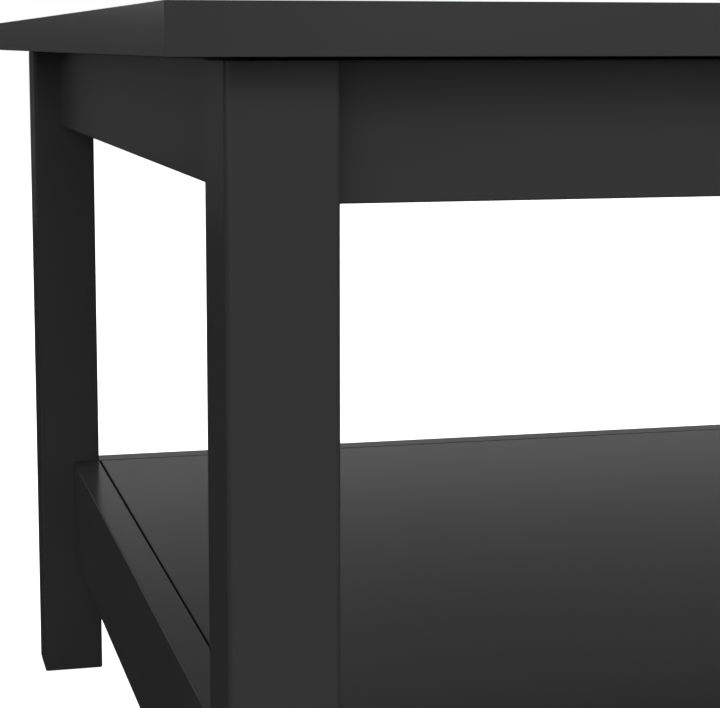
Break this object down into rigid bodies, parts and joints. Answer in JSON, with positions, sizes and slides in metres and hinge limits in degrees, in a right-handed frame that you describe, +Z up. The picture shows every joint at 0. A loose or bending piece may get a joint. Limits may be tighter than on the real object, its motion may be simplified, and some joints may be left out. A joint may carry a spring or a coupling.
{
  "type": "lift top coffee table",
  "caption": "Rectangular coffee table with square legs, aprons, a lower shelf and a one-piece lid that lifts up and forward over a hidden compartment.",
  "frame": {"origin": "on the floor, at the middle of the bottom of the bounding box", "axes": "+X along the table's length, to its right seen from the front, +Y from front to rear, +Z up"},
  "size_m": [1.2, 0.81, 0.455],
  "materials": {
    "black_paint": "smooth satin charcoal black lacquer on board",
    "black_edging": "satin charcoal black edge banding",
    "black_panel": "matt black faced fibreboard",
    "pale_wood": "planed pale softwood and beech",
    "felt": "dark felt",
    "bumper_rubber": "soft black rubber",
    "nylon": "white nylon",
    "spring_steel": "oiled dark spring steel",
    "black_steel": "black powder coated steel",
    "zinc_steel": "zinc plated steel"
  },
  "bodies": {
    "frame": {"leg_front_left": "black_paint", "leg_front_right": "black_paint", "leg_rear_left": "black_paint", "leg_rear_right": "black_paint", "apron_front": "black_paint", "apron_rear": "black_paint", "apron_left": "black_paint", "apron_right": "black_paint", "compartment_floor": "black_panel", "rail_front": "black_paint", "rail_rear": "black_paint", "rail_left": "black_paint", "rail_right": "black_paint", "shelf": "black_paint", "cleat_front": "pale_wood", "cleat_rear": "pale_wood", "cleat_left": "pale_wood", "cleat_right": "pale_wood", "dowels": "pale_wood", "cam_bolts": "zinc_steel", "cam_nuts": "zinc_steel", "floor_screws": "zinc_steel", "cleat_screws": "zinc_steel", "shelf_screws": "zinc_steel", "foot_pads": "felt", "lid_bumpers": "bumper_rubber", "base_bracket_left": "black_steel", "base_bracket_right": "black_steel", "bracket_screws": "zinc_steel", "lower_pins_left": "zinc_steel", "lower_pins_right": "zinc_steel", "lower_washers": "nylon", "stop_pins": "zinc_steel", "spring_left": "spring_steel", "spring_right": "spring_steel"},
    "rear_arms": {"rear_arm_left": "black_steel", "rear_arm_right": "black_steel", "cross_tube": "black_steel", "tube_plugs": "zinc_steel", "tube_bolts": "zinc_steel"},
    "front_arms": {"front_arm_left": "black_steel", "front_arm_right": "black_steel"},
    "lid": {"lid_board": "black_paint", "band_front": "black_edging", "band_rear": "black_edging", "band_left": "black_edging", "band_right": "black_edging", "lid_bracket_left": "black_steel", "lid_bracket_right": "black_steel", "lid_screws": "zinc_steel", "upper_pins_left": "zinc_steel", "upper_pins_right": "zinc_steel", "upper_washers": "nylon"}
  },
  "joints": [
    {"name": "lift", "type": "hinge", "parent": "frame", "child": "rear_arms", "pos_m": [0, -0.172, 0.4055], "axis": [1, 0, 0], "range_deg": [0, 130], "deforming": ["spring_left", "spring_right"]},
    {"name": "front_arm_swing", "type": "hinge", "parent": "frame", "child": "front_arms", "pos_m": [0, -0.21703, 0.4265], "axis": [1, 0, 0], "range_deg": [0, 130]},
    {"name": "lid_level", "type": "hinge", "parent": "rear_arms", "child": "lid", "pos_m": [0, 0.068, 0.4055], "axis": [1, 0, 0], "range_deg": [-130, 0]}
  ],
  "couplings": [
    {"joint": "front_arm_swing", "follows": "lift", "ratio": 1},
    {"joint": "lid_level", "follows": "lift", "ratio": -1}
  ]
}
